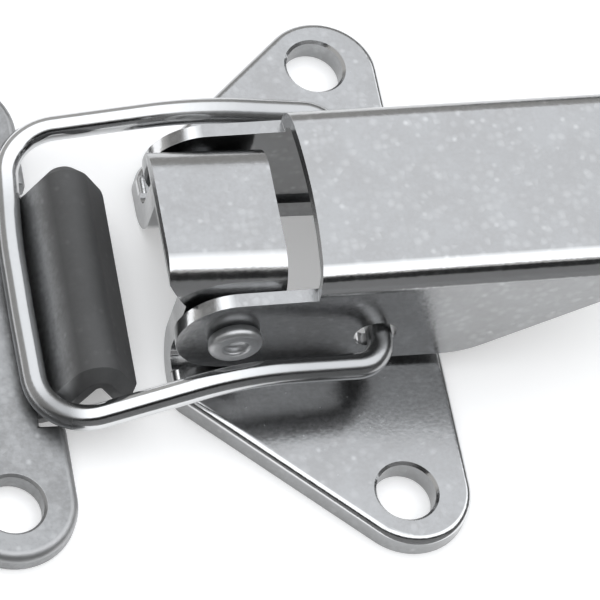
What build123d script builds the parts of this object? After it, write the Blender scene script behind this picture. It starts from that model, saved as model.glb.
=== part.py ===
from build123d import *
from math import cos, radians, sin, tan
import os

# Over-centre toggle latch: a folded base bracket that carries a channel lever on two rivets, a bent
# wire bail that hangs in the lever, and a strike plate whose folded hook the bail pulls on.
# Millimetres. The origin lies between the base's two screw holes, on the mounting surface. +X runs
# from the strike to the lever's finger tab, +Z out of the mounting surface. The latch is shut.

# ---- stock
base_t = 1.8
strike_t = 1.6
lever_t = 1.0
wire_d = 1.8
wire_flats = 20

# ---- clearances
pin_clear = 0.05
seat_clear = 0.01
head_clear = 0.08
bridge_clear = 0.45
wire_clear = 0.6
bail_rest_clear = 0.10
hook_gap = 0.33

# ---- base bracket: two kite-shaped wings and the raised bridge that joins them
base_pitch = 35.0
base_hole_d = 4.2
tip_r = 4.3
tip_back = 0.45
tip_inset = 0.36
wing_angle = 42.3
wing_front = -14.8
wing_step = 0.05
wing_corner_r = 1.6
bridge_h = 11.0
bridge_rear = -8.0
bridge_nose = -16.2
nose_drop = 1.1
nose_lean_z = 8.0
base_bend_in = 1.0
base_foot_land = 0.3
base_relief = 0.9
base_soft_r = 0.6
base_hole_break = 0.2

# ---- pivot rivets
pivot_x = -11.33
pivot_z = 6.15
rivet_shank_r = 1.3
rivet_head_r = 1.9
rivet_head_h = 0.9
rivet_tail_h = 0.8
rivet_crater_r = 0.85
rivet_crater_depth = 0.7
rivet_break = 0.35

# ---- lever: a pressed channel with two pivot ears and a curled finger tab
lever_tilt = 3.07
lever_w = 14.6
lever_h = 6.15
lever_bend_in = 0.8
ear_r = 4.0
belly_slope = 1.65
heel_x = 16.9
heel_r = 5.0
rise_angle = 32.5
top_front = 5.75
top_bow = 0.5
bail_hole_x = 10.1
bail_hole_z = -1.1
curl_x = 32.6
curl_r = 14.0
curl_angle = 23.0
tab_x = 32.6
neck_angle = 37.57
neck_r = 2.2
tab_w = 10.6
tab_corner_r = 4.6

# ---- wire bail
bail_grip = 1.0
bail_exit_r = 2.4
bail_flare = 2.15
bail_corner_r = 3.7
bail_crown_x = -11.0
bail_crown_z = 6.6
bail_crown_r = 22.0

# ---- strike plate and its hook
strike_pitch = 30.2
strike_w = 9.0
strike_hole_d = 4.2
strike_tip_inset = 0.35
strike_x = -27.15
strike_y = -1.55
hook_shift = 0.3
hook_inset = 3.2
hook_wall_angle = 66.0
hook_ramp_angle = 56.0
hook_h = 6.05
hook_reach = 6.6
hook_foot_inset = 1.25
hook_foot_r = 1.0
hook_crest_in = 0.2
hook_corner_r = 1.3
hook_relief = 1.0
strike_break = 0.4
strike_hole_break = 0.2
hook_break = 0.8

base_bend_out = base_bend_in + base_t
lever_half = lever_w / 2
lever_under = lever_h - lever_t
ear_inner = lever_half - lever_t
bridge_half = ear_inner - bridge_clear
wing_inner = bridge_half + wing_step
foot_y = bridge_half + base_bend_in + base_foot_land
tip_y = base_pitch / 2 - tip_inset
bail_leg_y = lever_half + bail_exit_r
bail_corner_y = bail_leg_y + bail_flare
hook_w = 2 * (bail_corner_y - hook_inset)
hook_y = strike_y + hook_shift
pivot = Vector(pivot_x, 0, pivot_z)

os.makedirs("parts", exist_ok=True)


# ---------------------------------------------------------------- base bracket
with BuildPart() as base_bracket:
    # one sheet, seen from its end: foot, riser, bridge top, riser, foot
    with BuildSketch(Plane.YZ.offset(bridge_nose)):
        with BuildLine():
            half_outside = FilletPolyline(
                (foot_y, base_t),
                (bridge_half, base_t),
                (bridge_half, bridge_h),
                (0, bridge_h),
                radius=(base_bend_in, base_bend_out),
            )
            half_inside = FilletPolyline(
                (0, bridge_h - base_t),
                (bridge_half - base_t, bridge_h - base_t),
                (bridge_half - base_t, 0),
                (foot_y, 0),
                radius=(base_bend_in, base_bend_out),
            )
            Line(half_outside @ 1, half_inside @ 0)
            Line(half_inside @ 1, half_outside @ 0)
        make_face()
        mirror(about=Plane.YZ)
    extrude(amount=bridge_rear - bridge_nose)
    # the bridge's nose leans out over the strike
    with BuildSketch(Plane.XZ):
        with BuildLine():
            Polyline(
                (wing_front, 0),
                (bridge_rear, 0),
                (bridge_rear, bridge_h),
                (bridge_nose, bridge_h),
                (bridge_nose, bridge_h - nose_drop),
                (wing_front, nose_lean_z),
                close=True,
            )
        make_face()
    extrude(amount=foot_y, both=True, mode=Mode.INTERSECT)
    # one flat wing, its upper edges tumbled round, and its mirror image
    with BuildPart(mode=Mode.PRIVATE) as wing:
        with BuildSketch() as wing_plan:
            with BuildLine():
                slant = Vector(cos(radians(wing_angle)), sin(radians(wing_angle)))
                touch = Vector(tip_back, tip_y) + tip_r * Vector(-slant.Y, slant.X)
                corner = touch - slant * ((touch.X - wing_front) / slant.X)
                front = Line((wing_front, wing_inner), corner)
                side = Line(front @ 1, touch)
                nose = TangentArc(side @ 1, (tip_back + tip_r, tip_y), tangent=side % 1)
                rear = Line(nose @ 1, (tip_back + tip_r, wing_inner))
                Line(rear @ 1, front @ 0)
            make_face()
            fillet(wing_plan.vertices().sort_by_distance(corner)[0], wing_corner_r)
            with Locations((0, base_pitch / 2)):
                Circle(base_hole_d / 2, mode=Mode.SUBTRACT)
            with Locations((wing_front, 0)):
                Rectangle(
                    bridge_rear + base_relief - wing_front,
                    foot_y,
                    align=(Align.MIN, Align.MIN),
                    mode=Mode.SUBTRACT,
                )
        extrude(amount=base_t)
        deck = wing.edges().group_by(Axis.Z)[-1]
        rim = deck.filter_by(lambda e: e.center().Y > foot_y + base_soft_r / 2 and not e.is_closed)
        fillet(rim, base_soft_r)
        chamfer(wing.edges().group_by(Axis.Z)[-1].filter_by(lambda e: e.is_closed), base_hole_break)
    add(wing.part)
    add(mirror(wing.part, about=Plane.XZ))
    # rivet holes through both risers
    with Locations(Plane(origin=pivot, z_dir=(0, 1, 0))):
        Hole(rivet_shank_r + seat_clear)
base_bracket.part.label = "base_bracket"


# ---------------------------------------------------------------- pivot rivets
def pivot_rivet(toward):
    """A semi-tubular rivet on the pivot's axis: flat head inside the bridge, rolled tail outside the ear."""
    inner = bridge_half - base_t
    outer = lever_half + head_clear
    with BuildPart() as rivet:
        with BuildSketch(Plane(origin=pivot, x_dir=(1, 0, 0), z_dir=(0, 0, toward))) as section:
            with BuildLine():
                Polyline(
                    (0, inner - rivet_tail_h),
                    (rivet_head_r, inner - rivet_tail_h),
                    (rivet_head_r, inner),
                    (rivet_shank_r, inner),
                    (rivet_shank_r, outer),
                    (rivet_head_r, outer),
                    (rivet_head_r, outer + rivet_head_h),
                    (rivet_crater_r, outer + rivet_head_h),
                    (rivet_crater_r, outer + rivet_head_h - rivet_crater_depth),
                    (0, outer + rivet_head_h - rivet_crater_depth),
                    close=True,
                )
            make_face()
            roll = section.vertices().filter_by(lambda v: v.Y > outer + rivet_head_h / 2 and v.X > 0)
            chamfer(roll.group_by(Axis.Y)[-1], rivet_break)
            chamfer(section.vertices().group_by(Axis.Y)[0].sort_by(Axis.X)[-1], rivet_break)
        revolve(axis=Axis(pivot, (0, 1, 0)))
    return rivet


pivot_rivet_near = pivot_rivet(-1)
pivot_rivet_near.part.label = "pivot_rivet_near"
pivot_rivet_far = pivot_rivet(1)
pivot_rivet_far.part.label = "pivot_rivet_far"


# ---------------------------------------------------------------- lever
# The lever is drawn in its own frame: x along its top, y up, the origin on the pivot's axis.
tilt = Vector(cos(radians(lever_tilt)), 0, sin(radians(lever_tilt)))
lever_side = Plane(origin=pivot, x_dir=tilt, z_dir=(0, -1, 0))
lever_end = Plane(origin=pivot - tilt * (ear_r + lever_t), x_dir=(0, 1, 0), z_dir=tilt)
lever_plan = Plane(origin=pivot, x_dir=tilt, z_dir=lever_side.y_dir)
belly = Vector(cos(radians(belly_slope)), -sin(radians(belly_slope)))
chin = ear_r * Vector(belly.Y, -belly.X)
heel = chin + belly * ((heel_x - chin.X) / belly.X)
rise_end_x = heel_x + (lever_under - heel.Y) / tan(radians(rise_angle))

with BuildPart() as lever:
    # the channel seen from its end, drawn straight through from the ears to the tab
    with BuildSketch(lever_end) as channel:
        with Locations((0, lever_h)):
            Rectangle(lever_w, 2 * lever_h, align=(Align.CENTER, Align.MAX))
        fillet(channel.vertices().group_by(Axis.Y)[-1], lever_bend_in + lever_t)
        with Locations((0, lever_under)):
            Rectangle(2 * ear_inner, 2 * lever_h, align=(Align.CENTER, Align.MAX), mode=Mode.SUBTRACT)
        fillet(channel.vertices().group_by(Axis.Y)[-2], lever_bend_in)
    extrude(amount=ear_r + lever_t + curl_x)
    # its outline from the side: round ear, belly, heel, rise to the tab, flat top
    with BuildSketch(lever_side) as outline:
        with BuildLine():
            nose = CenterArc((0, 0), ear_r, 90, 180 - belly_slope)
            flank = FilletPolyline(chin, heel, (rise_end_x, lever_under), radius=heel_r)
            Polyline(
                flank @ 1,
                (curl_x, lever_under),
                (curl_x, lever_h),
                (top_front - top_bow, lever_h),
                (top_front - top_bow, ear_r),
                nose @ 0,
            )
        make_face()
    extrude(amount=lever_half, both=True, mode=Mode.INTERSECT)
    # the finger tab curls up from the end of the top
    with BuildSketch(lever_side):
        with BuildLine():
            upper = CenterArc((curl_x, lever_h + curl_r), curl_r, -90, curl_angle)
            lower = CenterArc((curl_x, lever_h + curl_r), curl_r + lever_t, -90, curl_angle)
            Line(upper @ 0, lower @ 0)
            Line(upper @ 1, lower @ 1)
        make_face()
    extrude(amount=lever_half, both=True)
    # its outline from above: the channel's bends die out into the narrower, round-ended tab
    tab_end_x = curl_x + curl_r * sin(radians(curl_angle))
    neck_x = tab_x - (lever_half - tab_w / 2) / tan(radians(neck_angle))
    with BuildSketch(lever_plan) as plan:
        with BuildLine():
            Polyline(
                (-2 * ear_r, 0),
                (-2 * ear_r, lever_half),
                (neck_x, lever_half),
                (tab_x, tab_w / 2),
                (tab_end_x, tab_w / 2),
                (tab_end_x, 0),
                close=True,
            )
        make_face()
        fillet(plan.vertices().sort_by_distance((neck_x, lever_half))[0], neck_r)
        fillet(plan.vertices().sort_by_distance((tab_x, tab_w / 2))[0], neck_r)
        fillet(plan.vertices().sort_by_distance((tab_end_x, tab_w / 2))[0], tab_corner_r)
        mirror(about=Plane.XZ)
    extrude(amount=2 * lever_h, both=True, mode=Mode.INTERSECT)
    # the top's front edge is slightly hollow
    bow_r = (lever_half**2 + top_bow**2) / (2 * top_bow)
    with BuildSketch(lever_plan.offset(ear_r)):
        with Locations((top_front - bow_r, 0)):
            Circle(bow_r)
    extrude(amount=lever_h, mode=Mode.SUBTRACT)
    # pivot holes and the bail's holes, through both flanges
    with Locations(lever_side):
        Hole(rivet_shank_r + pin_clear)
        with Locations((bail_hole_x, bail_hole_z)):
            Hole(wire_d / 2 + wire_clear)
lever.part.label = "lever"


# ---------------------------------------------------------------- wire bail
bail_eye = lever_side.from_local_coords((bail_hole_x, bail_hole_z))
bail_cross_z = strike_t + wire_d / 2 + bail_rest_clear
wall = Vector(cos(radians(hook_wall_angle)), sin(radians(hook_wall_angle)))
ramp = Vector(cos(radians(hook_ramp_angle)), -sin(radians(hook_ramp_angle)))
hook_crest_r = hook_crest_in + strike_t
hook_foot = Vector(strike_x + strike_w / 2 - hook_foot_inset, strike_t)
hook_wall_x = hook_foot.X + (bail_cross_z - strike_t) * wall.X / wall.Y
bail_cross_x = hook_wall_x - (wire_d / 2 + hook_gap) / wall.Y

splay = (bail_corner_y - bail_leg_y) / (bail_eye.X - bail_cross_x)

with BuildPart() as wire_bail:
    with BuildLine() as loop:
        half_loop = FilletPolyline(
            (bail_eye.X, ear_inner - bail_grip, bail_eye.Z),
            (bail_eye.X, bail_leg_y, bail_eye.Z),
            (bail_crown_x, bail_leg_y + splay * (bail_eye.X - bail_crown_x), bail_crown_z),
            (bail_cross_x, bail_corner_y, bail_cross_z),
            (bail_cross_x, 0, bail_cross_z),
            radius=(bail_exit_r, bail_crown_r, bail_corner_r),
        )
        mirror(half_loop, about=Plane.XZ)
    # a round wire, drawn with narrow flats
    with BuildSketch(Plane(origin=half_loop @ 0, z_dir=half_loop % 0)):
        RegularPolygon(wire_d / 2, wire_flats)
    sweep(path=loop.wires()[0])
wire_bail.part.label = "wire_bail"


# ---------------------------------------------------------------- strike plate
def sheet_under(corner, before, after, thick):
    """The lower corner of a sheet below an upper one, where its run turns from one direction to another."""
    normals = Vector(-before.Y, before.X) + Vector(-after.Y, after.X)
    return corner - normals * (2 * thick / normals.dot(normals))


with BuildPart() as strike_plate:
    with BuildSketch() as plate:
        with Locations((strike_x, strike_y)):
            SlotCenterToCenter(strike_pitch - 2 * strike_tip_inset, strike_w, rotation=90)
            with Locations((0, strike_pitch / 2), (0, -strike_pitch / 2)):
                Circle(strike_hole_d / 2, mode=Mode.SUBTRACT)
    extrude(amount=strike_t)
    # the hook's sheet turns up from inside the plate's edge, between two relief notches
    foot_turn = hook_foot_r * tan(radians(hook_wall_angle / 2))
    with BuildSketch():
        with Locations((hook_foot.X - foot_turn, hook_y)):
            Rectangle(strike_w, hook_w + 2 * hook_relief, align=(Align.MIN, Align.CENTER))
    extrude(amount=strike_t, mode=Mode.SUBTRACT)
    # foot, wall, crest and ramp are one sheet
    half_turn = radians((hook_wall_angle + hook_ramp_angle) / 2)
    wall_rise = (hook_h - strike_t - hook_crest_r * (1 - wall.X)) / wall.Y
    crest = hook_foot + wall * (wall_rise + hook_crest_r * tan(half_turn))
    lip = crest + ramp * ((hook_foot.X + hook_reach - crest.X) / ramp.X)
    level = Vector(1, 0)
    ramp_down = Vector(ramp.Y, -ramp.X)
    heel_in = hook_foot - level * (foot_turn + hook_foot_r)
    with BuildSketch(Plane.XZ.offset(-hook_y)):
        with BuildLine():
            above = FilletPolyline(heel_in, hook_foot, crest, lip, radius=(hook_foot_r, hook_crest_r))
            below = FilletPolyline(
                heel_in - Vector(0, strike_t),
                sheet_under(hook_foot, level, wall, strike_t),
                sheet_under(crest, wall, ramp, strike_t),
                lip + ramp_down * strike_t,
                radius=(hook_foot_r + strike_t, hook_crest_in),
            )
            Line(above @ 0, below @ 0)
            Line(above @ 1, below @ 1)
        make_face()
    extrude(amount=hook_w / 2, both=True)
    # rounded corners on the hook's free end, broken upper edges on the hook, the holes and the plate
    free_end = strike_plate.faces().filter_by(lambda f: f.normal_at().dot(Vector(ramp.X, 0, ramp.Y)) > 0.99)
    fillet(free_end.edges().filter_by(lambda e: abs(e.length - strike_t) < 1e-6), hook_corner_r)
    sides = strike_plate.faces().filter_by(Axis.Y).sort_by(SortBy.AREA)[-2:].edges()
    chamfer(sides.filter_by(lambda e: above.distance_to(Vertex((e @ 0.5).X, (e @ 0.5).Z)) < 1e-4), hook_break)
    deck = strike_plate.faces().filter_by(Axis.Z).sort_by(SortBy.AREA)[-2:].sort_by(Axis.Z)[-1].edges()
    holes = deck.filter_by(lambda e: e.is_closed)
    chamfer(holes, strike_hole_break)
    rim = deck.filter_by(lambda e: not e.is_closed and e.center().X < hook_foot.X - foot_turn - strike_break)
    chamfer(rim, strike_break)
strike_plate.part.label = "strike_plate"

for piece in (base_bracket, pivot_rivet_near, pivot_rivet_far, lever, wire_bail, strike_plate):
    export_step(piece.part, f"parts/{piece.part.label}.step")
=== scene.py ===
import math

import bmesh
import bpy
from mathutils import Matrix, Vector


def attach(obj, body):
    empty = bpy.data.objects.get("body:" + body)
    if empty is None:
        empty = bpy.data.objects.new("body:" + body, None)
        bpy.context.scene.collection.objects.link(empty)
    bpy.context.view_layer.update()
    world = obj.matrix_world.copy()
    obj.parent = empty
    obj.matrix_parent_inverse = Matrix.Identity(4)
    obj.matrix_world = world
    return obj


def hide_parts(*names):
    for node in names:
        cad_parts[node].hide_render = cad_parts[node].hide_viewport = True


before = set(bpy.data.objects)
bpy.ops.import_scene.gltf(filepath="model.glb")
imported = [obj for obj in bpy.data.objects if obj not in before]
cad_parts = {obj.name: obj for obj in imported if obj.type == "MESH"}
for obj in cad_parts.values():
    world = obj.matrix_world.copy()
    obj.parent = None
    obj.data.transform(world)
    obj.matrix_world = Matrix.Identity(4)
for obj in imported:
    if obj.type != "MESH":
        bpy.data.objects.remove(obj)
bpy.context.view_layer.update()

# An over-centre toggle latch in tumbled steel: base bracket, channel lever on two rivets, wire bail and
# strike plate. Every length is in millimetres, which MM turns into metres, and every angle in degrees.
MM = 0.001

# ---- rivets
PIVOT = Vector((-11.33, 0.0, 6.15))
RIVET_INNER_FACE = 4.05
RIVET_OUTER_FACE = 7.38
RIVET_SHANK_R = 1.3
RIVET_HEAD_R = 1.88
RIVET_HEAD_H = 0.88
RIVET_TAIL_H = 0.78
RIVET_CRATER_R = 0.82
RIVET_CRATER_DEPTH = 0.62
RIVET_FLARE = 0.1
RIVET_ROLL_R = 0.40
RIVET_TAIL_SOFT_R = 0.25
CRATER_LIP_R = 0.22
CRATER_CHAMFER = 0.15
TURNED_STEPS = 48

# ---- strike plate: its middle, its holes' pitch, the heights between which its upper rim lies, how far
# the holes' own rims reach from their middles and the hook from the plate's, and where painted shade and
# a rougher finish begin on the hook's wall and on its ramp
STRIKE_X = -27.15
STRIKE_Y = -1.55
STRIKE_PITCH = 30.2
STRIKE_RIM_Z = (1.0, 1.61)
STRIKE_HOLE_REACH = 3.0
STRIKE_HOOK_REACH = 11.0
HOOK_WALL_SHADE_X = (-24.6, -23.2)
HOOK_RAMP_SHADE_X = (-22.9, -22.0)

# ---- the slopes of the sheets' flat faces
LEVER_TILT = 3.07
RISE_ANGLE = 32.5
HOOK_WALL_ANGLE = 66.0
HOOK_RAMP_ANGLE = 56.0

# ---- how sheets are softened: angles between faces, how far a face turns before it is burnished and painted lighter as a highlight, and how much of that the far side keeps, cut down there as painted shade
SAME_POINT = 0.002
SAME_PLANE = 0.6
CUT_EDGES = (60, 130)
CHAMFERED_EDGES = (28, 60)
SOFT_SEGMENTS = 4
BRACKET_CUT_R = 0.30
LEVER_CUT_R = 0.20
STRIKE_CUT_R = 0.18
STRIKE_RIM_R = 0.24
STRIKE_CHAMFER_R = 0.09
SHARP_FROM = 38
BURNISH_AND_HIGHLIGHT_FROM = 8.0
BURNISH_AND_HIGHLIGHT_OVER = 9.0
FAR_SIDE_FROM = 0.1
FAR_SIDE_SHADED_SHARE = 0.25

# ---- the bail's wire
# Its corner points from the end in the far hole round to the end in the near hole, each with its bend's
# radius. It has drifted to the far side in its loose holes, and its cross bar is bowed by the hook.
BAIL_RUN = (
    ((-0.94, 5.3, 5.59), 0.0),
    ((-0.94, 10.75, 5.59), 2.4),
    ((-11.0, 11.25, 6.1), 22.0),
    ((-24.05, 11.85, 2.6), 3.7),
    ((-24.75, 3.0, 2.6), 40.0),
    ((-24.75, -3.0, 2.6), 40.0),
    ((-24.60, -11.95, 2.6), 3.7),
    ((-11.0, -10.2, 6.1), 22.0),
    ((-0.94, -9.68, 5.59), 2.2),
    ((-0.94, -5.3, 5.59), 0.0),
)
WIRE_D = 1.8
BEND_POINTS = 14
WIRE_SIDES = 36

# Where the wire is made rougher and painted darker, painted shade that dims its highlight: towards the
# eyes, along the cross bar, and round its near bend.
SHADE_AND_DULL_EYE_X = (-15.0, -6.0)
SHADE_AND_DULL_BAR_X = (-21.4, -23.2)
SHADE_AND_DULL_BAR_Y = (10.0, 5.0)
SHADE_AND_DULL_BEND_Y = (-8.6, -10.6)

# ---- finishes: grain of the steel's clouds and pits, spacing of its soft mottles and small nicks, and
# grain of the wire's haze
CLOUD_GRAIN = 3.2
PIT_GRAIN = 0.30
MOTTLE_SPACING = 0.62
NICK_SPACING = 0.80
NICK_COLOUR = 0.85
WIRE_GRAIN = 0.5

# ---- floor, cards, lamp, sky and camera
FLOOR_REACH = 2000
FLOOR_DROP = 0.02
FLOOR_GLOW = 0.28

# The dark cards' outlines, seen from their ends: (distance from the latch, height). Each card runs
# between two places on the other axis.
NEAR_CARD_LOW = ((-23, 0.2), (-75, 0.2), (-87, 50))
NEAR_CARD_HIGH = ((-87, 50), (-105, 130))
NEAR_CARD_ENDS = (-500, 500)
RIGHT_CARD = ((75, 0.2), (100, 60))
RIGHT_CARD_ENDS = (-200, 300)

LAMP_PLACE = Vector((200, 125, 450))
LAMP_WIDTH = 1100
LAMP_DEPTH = 830
LAMP_RADIANCE = 1.24
LAMP_COLOR = (0.955, 0.985, 1.03)
SKY_COLOR = (1.0, 0.99, 0.97, 1.0)
SKY_STRENGTH = 0.50

# The camera's place, and the ways that its right, its top and its back look.
EYE = Vector((-78.42, -131.83, 223.18))
RIGHT = Vector((0.96026, -0.17690, 0.21589))
UP = Vector((0.04178, 0.85587, 0.51550))
BACK = Vector((-0.27596, -0.48599, 0.82925))
SENSOR_WIDTH = 36.0
FOCAL_LENGTH = 229.8
NEAR_CLIP = 10


def tilted(angle):
    """The way that a flat face looks when it is turned from level by that angle towards -X."""
    return (-math.sin(math.radians(angle)), 0, math.cos(math.radians(angle)))


LEVEL = (0, 0, 1)
SIDEWAYS = (0, 1, 0)


# ---------------------------------------------------------------- sheet pieces
def sheet_piece(node, name, soften, flats):
    """A pressed piece: the node's triangles joined into whole faces, its cut edges tumbled round.

    soften lists (least angle, most angle, radius) of the edges that are rounded, one pass each, with
    a test of an edge's middle where only some of them are.
    flats lists the directions that the sheet's flat faces look in. The attribute made here, partly real
    burnish and partly painted highlight, is 0 there and on the cut walls, and rises where a bend or a
    rounded edge turns
    away from them: to 1, or on the far side only to a small share, which is painted shade there."""
    shell = bmesh.new()
    shell.from_mesh(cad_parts[node].data)
    bmesh.ops.remove_doubles(shell, verts=shell.verts, dist=SAME_POINT * MM)
    bmesh.ops.dissolve_limit(
        shell, angle_limit=math.radians(SAME_PLANE), verts=shell.verts, edges=shell.edges
    )
    for least, most, radius, *tests in soften:
        rims = [
            edge
            for edge in shell.edges
            if len(edge.link_faces) == 2
            and math.radians(least) < edge.calc_face_angle() <= math.radians(most)
            and all(test((edge.verts[0].co + edge.verts[1].co) / 2 / MM) for test in tests)
        ]
        bmesh.ops.bevel(
            shell,
            geom=rims,
            offset=radius * MM,
            offset_type="OFFSET",
            segments=SOFT_SEGMENTS,
            profile=0.5,
            affect="EDGES",
            clamp_overlap=True,
        )
    for face in shell.faces:
        face.smooth = True
    for edge in shell.edges:
        edge.smooth = len(edge.link_faces) != 2 or edge.calc_face_angle() <= math.radians(SHARP_FROM)
    mesh = bpy.data.meshes.new(name)
    shell.to_mesh(mesh)
    shell.free()
    piece = bpy.data.objects.new(name, mesh)
    bpy.context.scene.collection.objects.link(piece)
    even = piece.modifiers.new("even_shading", "WEIGHTED_NORMAL")
    even.keep_sharp = True
    depsgraph = bpy.context.evaluated_depsgraph_get()
    piece.data = bpy.data.meshes.new_from_object(piece.evaluated_get(depsgraph))
    piece.modifiers.clear()
    ways = [Vector(way).normalized() for way in flats]
    burnish_and_highlight = []
    # Bends and rims are lightened: partly real burnish, partly a painted highlight; the far side keeps only
    # a small share, which is painted shade.
    for corner in piece.data.corner_normals:
        normal = Vector(corner.vector)
        from_flats = min(math.acos(min(1.0, abs(normal.dot(way)))) for way in ways)
        from_walls = math.asin(min(1.0, abs(normal.z)))
        rise = (math.degrees(min(from_flats, from_walls)) - BURNISH_AND_HIGHLIGHT_FROM) / BURNISH_AND_HIGHLIGHT_OVER
        most = 1.0 if normal.y < FAR_SIDE_FROM else FAR_SIDE_SHADED_SHARE
        burnish_and_highlight.append(min(most, max(0.0, rise)))
    piece.data.attributes.new("burnish_and_highlight", "FLOAT", "CORNER").data.foreach_set("value", burnish_and_highlight)
    return piece


# ---------------------------------------------------------------- geometry node trees
class Tree:
    """A geometry node tree under construction: named inputs, nodes with settings, and one output."""

    def __init__(self, name):
        self.group = bpy.data.node_groups.new(name, "GeometryNodeTree")
        for way in ("OUTPUT", "INPUT"):
            self.group.interface.new_socket("Geometry", in_out=way, socket_type="NodeSocketGeometry")
        self.values = {}
        self.source = self.group.nodes.new("NodeGroupInput")

    def size(self, name, kind, value):
        socket = self.group.interface.new_socket(name, in_out="INPUT", socket_type=kind)
        self.values[socket.identifier] = value
        return self.source.outputs[name]

    def node(self, kind, settings=None, **links):
        made = self.group.nodes.new(kind)
        for key, value in (settings or {}).items():
            setattr(made, key, value)
        for key, value in links.items():
            socket = made.inputs[key.replace("_", " ")]
            if isinstance(value, bpy.types.NodeSocket):
                self.group.links.new(value, socket)
            else:
                socket.default_value = value
        return made

    def grow(self, seed_object, geometry, finish):
        """Runs the tree on an object and leaves a plain mesh with that finish in its place."""
        real = self.node("GeometryNodeRealizeInstances", Geometry=geometry)
        shaded = self.node("GeometryNodeSetShadeSmooth", Geometry=real.outputs[0])
        finished = self.node("GeometryNodeSetMaterial", Geometry=shaded.outputs[0], Material=finish)
        end = self.group.nodes.new("NodeGroupOutput")
        self.group.links.new(finished.outputs[0], end.inputs[0])
        modifier = seed_object.modifiers.new(self.group.name, "NODES")
        modifier.node_group = self.group
        for identifier, value in self.values.items():
            modifier[identifier] = value
        depsgraph = bpy.context.evaluated_depsgraph_get()
        mesh = bpy.data.meshes.new_from_object(seed_object.evaluated_get(depsgraph))
        seed_object.modifiers.remove(modifier)
        seed_object.data = mesh


def seed(name, points, edges=(), faces=()):
    """An object of those points, with their edges or faces, for a tree or as it is."""
    mesh = bpy.data.meshes.new(name)
    mesh.from_pydata([Vector(point) * MM for point in points], edges, faces)
    made = bpy.data.objects.new(name, mesh)
    bpy.context.scene.collection.objects.link(made)
    return made


# ---------------------------------------------------------------- shader expressions
class Value:
    """A shader socket that takes part in sums: each operator adds its Math node."""

    def __init__(self, finish, socket):
        self.finish = finish
        self.socket = socket

    def joined(self, operation, first, second):
        made = self.finish.node("ShaderNodeMath", {"operation": operation}, {0: first, 1: second})
        return Value(self.finish, made.outputs[0])

    def __add__(self, other):
        return self.joined("ADD", self, other)

    def __sub__(self, other):
        return self.joined("SUBTRACT", self, other)

    def __rsub__(self, other):
        return self.joined("SUBTRACT", other, self)

    def __mul__(self, other):
        return self.joined("MULTIPLY", self, other)

    __radd__ = __add__


class Finish:
    """A material under construction, with its Principled shader and the object's own coordinates."""

    def __init__(self, name):
        self.material = bpy.data.materials.new(name)
        self.material.use_nodes = True
        self.nodes = self.material.node_tree.nodes
        self.links = self.material.node_tree.links
        self.surface = self.nodes["Principled BSDF"]
        self.place = self.node("ShaderNodeTexCoord").outputs["Object"]

    def node(self, kind, settings=None, inputs=None):
        made = self.nodes.new(kind)
        for key, value in (settings or {}).items():
            setattr(made, key, value)
        for key, value in (inputs or {}).items():
            self.feed(made.inputs[key], value)
        return made

    def feed(self, socket, value):
        if isinstance(value, Value):
            value = value.socket
        if isinstance(value, bpy.types.NodeSocket):
            self.links.new(value, socket)
        else:
            socket.default_value = value

    def along(self, axis, start, end):
        """0 before start on that axis, 1 past end, smooth between."""
        where = self.node("ShaderNodeSeparateXYZ", None, {0: self.place}).outputs[axis]
        return self.stepped(Value(self, where), start * MM, end * MM)

    def noise(self, grain, detail, roughness=0.55):
        inputs = {"Vector": self.place, "Scale": 1 / (grain * MM), "Detail": detail, "Roughness": roughness}
        return Value(self, self.node("ShaderNodeTexNoise", None, inputs).outputs[0])

    def dots(self, spacing, size, share, core=0.02):
        """Soft round dots, most of them faint, on that share of the places they could take."""
        inputs = {"Vector": self.place, "Scale": 1 / (spacing * MM), "Randomness": 1.0}
        settings = {"feature": "F1", "distance": "EUCLIDEAN"}
        cells = self.node("ShaderNodeTexVoronoi", settings, inputs).outputs
        chance = self.node("ShaderNodeSeparateColor", None, {0: cells["Color"]}).outputs[0]
        near = 1 - self.stepped(Value(self, cells["Distance"]), core, size)
        return near * self.stepped(Value(self, chance), 1 - share, 1.0)

    def dented(self, height, depth):
        """The normal of a surface that a height between 0 and 1 dents by that depth."""
        inputs = {"Height": height, "Distance": depth * MM, "Strength": 1.0}
        return self.node("ShaderNodeBump", None, inputs).outputs[0]

    def stepped(self, value, low, high):
        """0 at low, 1 at high, smooth between and level beyond."""
        inputs = {"Value": value, "From Min": low, "From Max": high}
        made = self.node("ShaderNodeMapRange", {"interpolation_type": "SMOOTHSTEP"}, inputs)
        return Value(self, made.outputs[0])

    def mixed(self, factor, dark, light):
        settings = {"data_type": "RGBA", "blend_type": "MIX"}
        return self.node("ShaderNodeMix", settings, {0: factor, 6: dark, 7: light}).outputs[2]

    def set(self, **inputs):
        for key, value in inputs.items():
            self.feed(self.surface.inputs[key.replace("_", " ")], value)
        return self.material


def grey(level, blue=0.0):
    """A grey of that level, tinted towards blue by that share."""
    return (level * (1 - blue), level, level * (1 + blue), 1.0)


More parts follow.
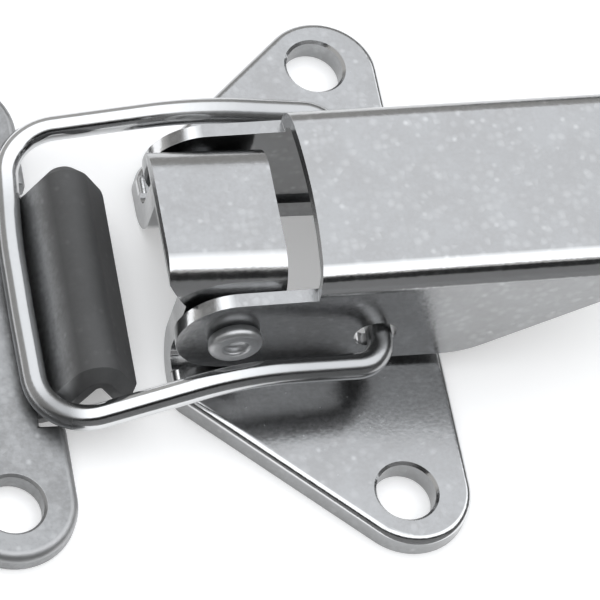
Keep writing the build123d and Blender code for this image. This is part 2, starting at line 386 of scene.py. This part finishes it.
def tumbled_steel(name, flat, bright, speck, cloudy, rough, dimple, gloss=0.45, shade=None):
    """Sheet steel from a tumbling barrel: clouded, mottled and nicked flats, and bends and rims that are
    burnished and painted lighter as a highlight.

    flat and bright are the greys of the flats and of the bends and rims, the latter partly real burnish and
    partly painted highlight; speck and cloudy the strength of the dots and clouds, rough and dimple the
    flats' roughness and the pits' depth. gloss is the share of the roughness that burnishing takes away.
    shade, if given, makes from the finish a factor that paints shade on it, darkening its colour, and dulls
    it, making it rougher."""
    finish = Finish(name)
    cloud = finish.noise(CLOUD_GRAIN, detail=4.0)
    pits = finish.noise(PIT_GRAIN, detail=2.0, roughness=0.5)
    mottle = finish.dots(MOTTLE_SPACING, size=0.78, share=0.65)
    nicks = finish.dots(NICK_SPACING, size=0.36, share=0.5)
    bends = finish.node("ShaderNodeAttribute", {"attribute_name": "burnish_and_highlight"}).outputs["Fac"]
    shade_and_dull = shade(finish) if shade else 0.0
    burnish_and_highlight = Value(finish, bends) * (1 - shade_and_dull)
    tone = finish.stepped(cloud * 0.6 + pits * 0.4, 0.34, 0.66)
    base = finish.mixed(tone, grey(flat * (1 - cloudy), 0.004), grey(flat * (1 + cloudy), 0.012))
    base = finish.mixed(mottle * (speck * 0.6) + nicks * speck, base, grey(NICK_COLOUR, 0.01))
    # Bends and rims painted lighter: partly real burnish, partly a painted highlight.
    base = finish.mixed(burnish_and_highlight * (0.9 + nicks * 0.1), base, grey(bright, 0.004))
    # Painted shade: where shade is given, the colour is darkened towards a darker grey and the finish made
    # rougher.
    if shade:
        base = finish.mixed(shade_and_dull, base, grey(flat * 0.40))
        rough = rough + shade_and_dull * 0.40
    return finish.set(
        Base_Color=base,
        Metallic=1.0,
        Roughness=rough + pits * 0.14 - nicks * 0.06 - burnish_and_highlight * (rough * gloss),
        Normal=finish.dented(pits * 0.7 + cloud * 0.3, dimple),
    )


def hook_shade(finish):
    """Painted shade on the hook, with a rougher finish: much on its ramp and a trace on its wall."""
    return finish.along("X", *HOOK_WALL_SHADE_X) * 0.02 + finish.along("X", *HOOK_RAMP_SHADE_X) * 0.80


def drawn_wire(name):
    """Bright drawn wire: near mirror with a faint haze; by the eyes, on the bar and at its bend it is
    rougher and painted darker, painted shade that dims its highlight.
    """
    finish = Finish(name)
    haze = finish.noise(WIRE_GRAIN, detail=2.0)
    bar = finish.along("X", *SHADE_AND_DULL_BAR_X)
    bar_shade_and_dull = finish.along("Y", *SHADE_AND_DULL_BAR_Y) * 0.55 + finish.along("Y", *SHADE_AND_DULL_BEND_Y) * 0.45
    shade_and_dull = finish.along("X", *SHADE_AND_DULL_EYE_X) * 0.7 + bar * bar_shade_and_dull
    base = finish.mixed(haze, grey(0.62, 0.005), grey(0.70, 0.01))
    return finish.set(
        # Painted shade: a darker grey by the eyes, on the bar and round its near bend, which dims the
        # highlight there.
        Base_Color=finish.mixed(shade_and_dull, base, grey(0.30, 0.01)),
        Metallic=1.0,
        Roughness=0.10 + haze * 0.07 + shade_and_dull * 0.16,
        Normal=finish.dented(haze, 0.004),
    )


base_steel = tumbled_steel(
    "base_steel", flat=0.325, bright=0.74, speck=0.15, cloudy=0.07, rough=0.17, dimple=0.010
)
lever_steel = tumbled_steel(
    "lever_steel", flat=0.330, bright=0.80, speck=0.19, cloudy=0.05, rough=0.16, dimple=0.010
)
strike_steel = tumbled_steel(
    "strike_steel",
    flat=0.29,
    bright=0.50,
    speck=0.17,
    cloudy=0.16,
    rough=0.34,
    dimple=0.016,
    gloss=-0.15,
    shade=hook_shade,
)
rivet_steel = tumbled_steel(
    "rivet_steel", flat=0.60, bright=0.66, speck=0.10, cloudy=0.08, rough=0.36, dimple=0.010
)
wire_steel = drawn_wire("wire_steel")


# ---------------------------------------------------------------- pieces
def on_plate_rim(middle):
    """True on the strike plate's outer rim, and not round its holes or on the hook."""
    hole = Vector((STRIKE_X, STRIKE_PITCH / 2))
    across = abs(middle.y - STRIKE_Y)
    hole_away = (Vector((middle.x, across)) - hole).length
    bottom, top = STRIKE_RIM_Z
    return bottom < middle.z < top and hole_away > STRIKE_HOLE_REACH and across > STRIKE_HOOK_REACH


bracket = sheet_piece("base_bracket", "bracket", [(*CUT_EDGES, BRACKET_CUT_R)], [LEVEL, SIDEWAYS])
channel_lever = sheet_piece(
    "lever",
    "channel_lever",
    [(*CUT_EDGES, LEVER_CUT_R)],
    [SIDEWAYS, tilted(LEVER_TILT), tilted(LEVER_TILT + RISE_ANGLE)],
)
strike = sheet_piece(
    "strike_plate",
    "strike",
    [
        (*CHAMFERED_EDGES, STRIKE_RIM_R, on_plate_rim),
        (*CUT_EDGES, STRIKE_CUT_R),
        (*CHAMFERED_EDGES, STRIKE_CHAMFER_R),
    ],
    [LEVEL, SIDEWAYS, tilted(HOOK_WALL_ANGLE), tilted(-HOOK_RAMP_ANGLE)],
)

stretches = [(k, k + 1) for k in range(len(BAIL_RUN) - 1)]
bail = seed("bail", [corner for corner, bend in BAIL_RUN], stretches)
bend_radius = bail.data.attributes.new("bend_radius", "FLOAT", "POINT")
bend_radius.data.foreach_set("value", [bend * MM for corner, bend in BAIL_RUN])

bender = Tree("bent_wire")
wire_radius = bender.size("Wire radius", "NodeSocketFloat", WIRE_D / 2 * MM)
run = bender.node("GeometryNodeMeshToCurve", Mesh=bender.source.outputs["Geometry"])
corner_r = bender.node("GeometryNodeInputNamedAttribute", {"data_type": "FLOAT"}, Name="bend_radius")
bent = bender.node(
    "GeometryNodeFilletCurve",
    {"mode": "POLY"},
    Curve=run.outputs[0],
    Count=BEND_POINTS,
    Radius=corner_r.outputs[0],
    Limit_Radius=True,
)
section = bender.node(
    "GeometryNodeCurvePrimitiveCircle", {"mode": "RADIUS"}, Resolution=WIRE_SIDES, Radius=wire_radius
)
drawn = bender.node(
    "GeometryNodeCurveToMesh", Curve=bent.outputs[0], Profile_Curve=section.outputs[0], Fill_Caps=True
)
bender.grow(bail, drawn.outputs[0], wire_steel)


# ---------------------------------------------------------------- rivets
def arc(centre_r, centre_y, radius, start, end, steps):
    """Points (distance from the axis, place along it) on an arc of the rivet's turned outline."""
    turns = [math.radians(start + (end - start) * k / steps) for k in range(steps + 1)]
    return [(centre_r + radius * math.cos(turn), centre_y + radius * math.sin(turn)) for turn in turns]


def turned(name, outline):
    """A closed solid of revolution about the Y axis through PIVOT."""
    shell = bmesh.new()
    line = [shell.verts.new((PIVOT + Vector((r, y, 0))) * MM) for r, y in outline]
    edges = [shell.edges.new(pair) for pair in zip(line, line[1:])]
    bmesh.ops.spin(
        shell,
        geom=line + edges,
        cent=PIVOT * MM,
        axis=(0, 1, 0),
        angle=2 * math.pi,
        steps=TURNED_STEPS,
        use_merge=True,
    )
    bmesh.ops.remove_doubles(shell, verts=shell.verts, dist=SAME_POINT / 2 * MM)
    bmesh.ops.recalc_face_normals(shell, faces=shell.faces)
    mesh = bpy.data.meshes.new(name)
    shell.to_mesh(mesh)
    shell.free()
    made = bpy.data.objects.new(name, mesh)
    bpy.context.scene.collection.objects.link(made)
    return made


head_top = RIVET_OUTER_FACE + RIVET_HEAD_H
tail_end = RIVET_INNER_FACE - RIVET_TAIL_H
crater_floor = head_top - RIVET_CRATER_DEPTH
rivet_outline = [
    (0.0, tail_end),
    *arc(RIVET_HEAD_R - RIVET_TAIL_SOFT_R, tail_end + RIVET_TAIL_SOFT_R, RIVET_TAIL_SOFT_R, -90, 0, 5),
    (RIVET_HEAD_R, RIVET_INNER_FACE),
    (RIVET_SHANK_R, RIVET_INNER_FACE),
    (RIVET_SHANK_R, RIVET_OUTER_FACE),
    (RIVET_HEAD_R - RIVET_FLARE, RIVET_OUTER_FACE),
    *arc(RIVET_HEAD_R - RIVET_ROLL_R, head_top - RIVET_ROLL_R, RIVET_ROLL_R, -20, 90, 8),
    *arc(RIVET_CRATER_R + CRATER_LIP_R, head_top - CRATER_LIP_R, CRATER_LIP_R, 90, 180, 5),
    (RIVET_CRATER_R, crater_floor + CRATER_CHAMFER),
    (RIVET_CRATER_R - CRATER_CHAMFER, crater_floor),
    (0.0, crater_floor),
]
rivet = turned("rivet", rivet_outline)
rivets = seed("rivets", [PIVOT])
pairer = Tree("rivet_pair")
one_rivet = pairer.size("Rivet", "NodeSocketObject", rivet)
half_turn = pairer.size("Half turn", "NodeSocketVector", (math.pi, 0.0, 0.0))
far_one = pairer.node("GeometryNodeObjectInfo", {"transform_space": "ORIGINAL"}, Object=one_rivet)
near_one = far_one.outputs["Geometry"]
for step in ({"Translation": -PIVOT * MM}, {"Rotation": half_turn}, {"Translation": PIVOT * MM}):
    near_one = pairer.node("GeometryNodeTransform", Geometry=near_one, **step).outputs[0]
both = pairer.node("GeometryNodeJoinGeometry")
for one in (far_one.outputs["Geometry"], near_one):
    pairer.group.links.new(one, both.inputs[0])
pairer.grow(rivets, both.outputs[0], rivet_steel)
bpy.data.objects.remove(rivet)

for piece, finish, body, slot, *nodes in (
    (bracket, base_steel, "base", "base_steel", "base_bracket"),
    (strike, strike_steel, "base", "strike_steel", "strike_plate"),
    (rivets, rivet_steel, "base", "rivet_steel", "pivot_rivet_near", "pivot_rivet_far"),
    (channel_lever, lever_steel, "lever", "lever_steel", "lever"),
    (bail, wire_steel, "bail", "wire_steel", "wire_bail"),
):
    piece.data.materials.clear()
    piece.data.materials.append(finish)
    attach(piece, body)
    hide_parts(*nodes)


# ---------------------------------------------------------------- floor, light and camera
quarters = ((-1, -1), (1, -1), (1, 1), (-1, 1))
corners = [(x * FLOOR_REACH, y * FLOOR_REACH, -FLOOR_DROP) for x, y in quarters]
floor = seed("floor", corners, faces=[(0, 1, 2, 3)])
paper = Finish("white_paper")
rays = paper.node("ShaderNodeLightPath").outputs
seen = Value(paper, rays["Is Camera Ray"]) + Value(paper, rays["Is Glossy Ray"])
seen = seen + Value(paper, rays["Is Transmission Ray"])
paper.set(Base_Color=grey(0.92), Roughness=0.9, Specular_IOR_Level=0.0, Emission_Color=grey(1.0))
floor.data.materials.append(paper.set(Emission_Strength=seen * FLOOR_GLOW))


def dark_card(name, level, start, end):
    """A dark card that only the metal's reflections see, between two rows of points."""
    velvet = Finish(name)
    count = len(start)
    card = seed(name, start + end, faces=[(k, k + 1, count + k + 1, count + k) for k in range(count - 1)])
    card.data.materials.append(velvet.set(Base_Color=grey(level), Roughness=1.0, Specular_IOR_Level=0.0))
    for ray in ("camera", "diffuse", "shadow", "transmission", "volume_scatter"):
        setattr(card, "visible_" + ray, False)
    return card


cards = [
    dark_card("near_card_low", 0.21, *([(x, y, z) for y, z in NEAR_CARD_LOW] for x in NEAR_CARD_ENDS)),
    dark_card("near_card_high", 0.02, *([(x, y, z) for y, z in NEAR_CARD_HIGH] for x in NEAR_CARD_ENDS)),
    dark_card("right_card", 0.13, *([(x, y, z) for x, z in RIGHT_CARD] for y in RIGHT_CARD_ENDS)),
]

world = bpy.data.worlds.new("studio")
world.use_nodes = True
bpy.context.scene.world = world
sky = world.node_tree.nodes["Background"]
sky.inputs["Color"].default_value = SKY_COLOR
sky.inputs["Strength"].default_value = SKY_STRENGTH

# One soft box over the latch, looking straight down.
lamp = bpy.data.lights.new("overhead_box", "AREA")
lamp.shape = "RECTANGLE"
lamp.size = LAMP_WIDTH * MM
lamp.size_y = LAMP_DEPTH * MM
lamp.energy = LAMP_RADIANCE * math.pi * lamp.size * lamp.size_y
lamp.color = LAMP_COLOR
box = bpy.data.objects.new("overhead_box", lamp)
box.location = LAMP_PLACE * MM
bpy.context.scene.collection.objects.link(box)

lens = bpy.data.cameras.new("camera")
lens.sensor_width = SENSOR_WIDTH
lens.lens = FOCAL_LENGTH
lens.clip_start = NEAR_CLIP * MM
camera = bpy.data.objects.new("camera", lens)
turned_to_view = Matrix((RIGHT, UP, BACK)).transposed().to_4x4()
camera.matrix_world = Matrix.Translation(EYE * MM) @ turned_to_view
bpy.context.scene.collection.objects.link(camera)
bpy.context.scene.camera = camera
bpy.context.scene.view_settings.view_transform = "Standard"
